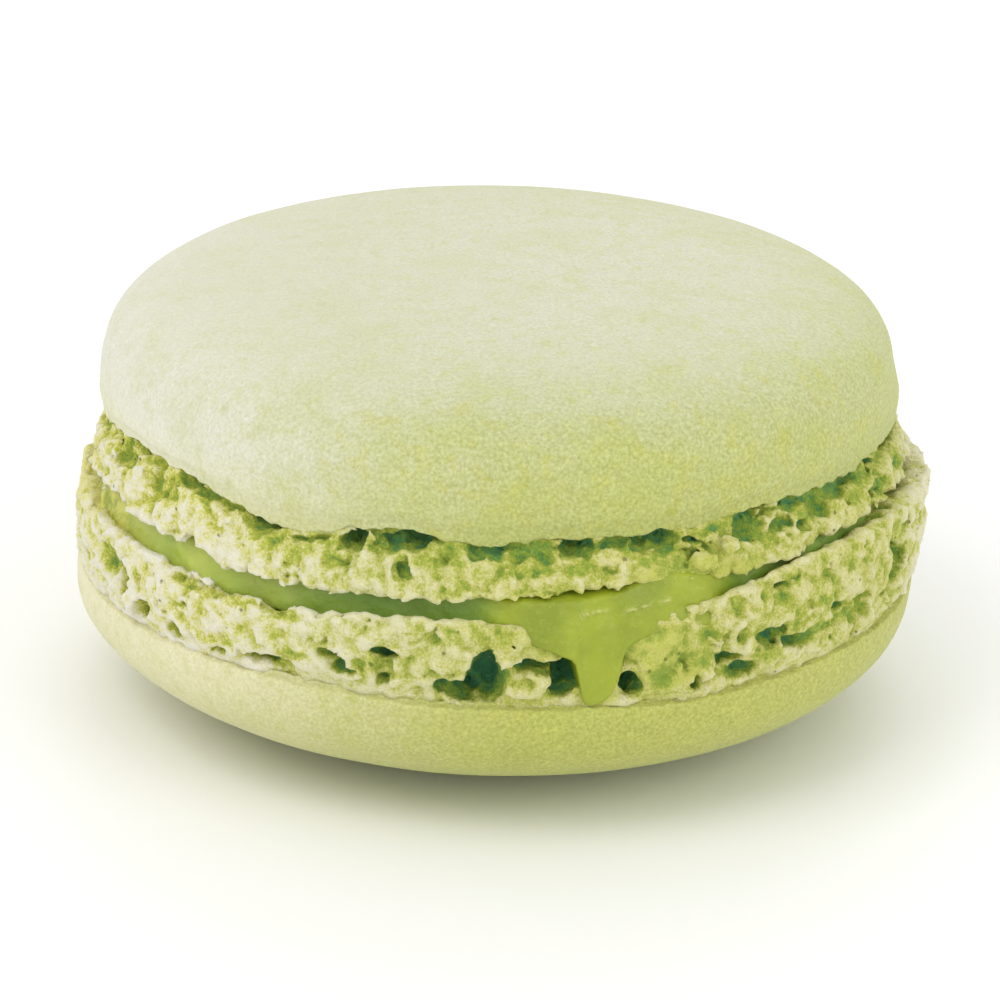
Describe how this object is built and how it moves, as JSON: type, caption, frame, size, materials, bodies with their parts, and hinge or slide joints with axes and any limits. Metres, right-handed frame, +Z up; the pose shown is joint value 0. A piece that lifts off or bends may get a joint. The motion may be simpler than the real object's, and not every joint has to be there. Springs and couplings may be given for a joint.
{
  "type": "french macaron",
  "caption": "Round pistachio macaron: two smooth domed meringue shells with frilled feet and a soft cream layer that spills a little at the front.",
  "frame": {"origin": "centre of the flat spot under the lower shell that the macaron rests on", "axes": "+Z up through both shells, -Y towards the front, where the cream spills, and +X to the right"},
  "size_m": [0.048, 0.0479, 0.0246],
  "materials": {
    "meringue": "matte, finely grained almond crust with a crumbly frilled foot",
    "cream": "soft satin cream, a little translucent"
  },
  "bodies": {
    "root": {"bottom_shell": "meringue", "filling": "cream", "top_shell": "meringue"}
  },
  "joints": []
}
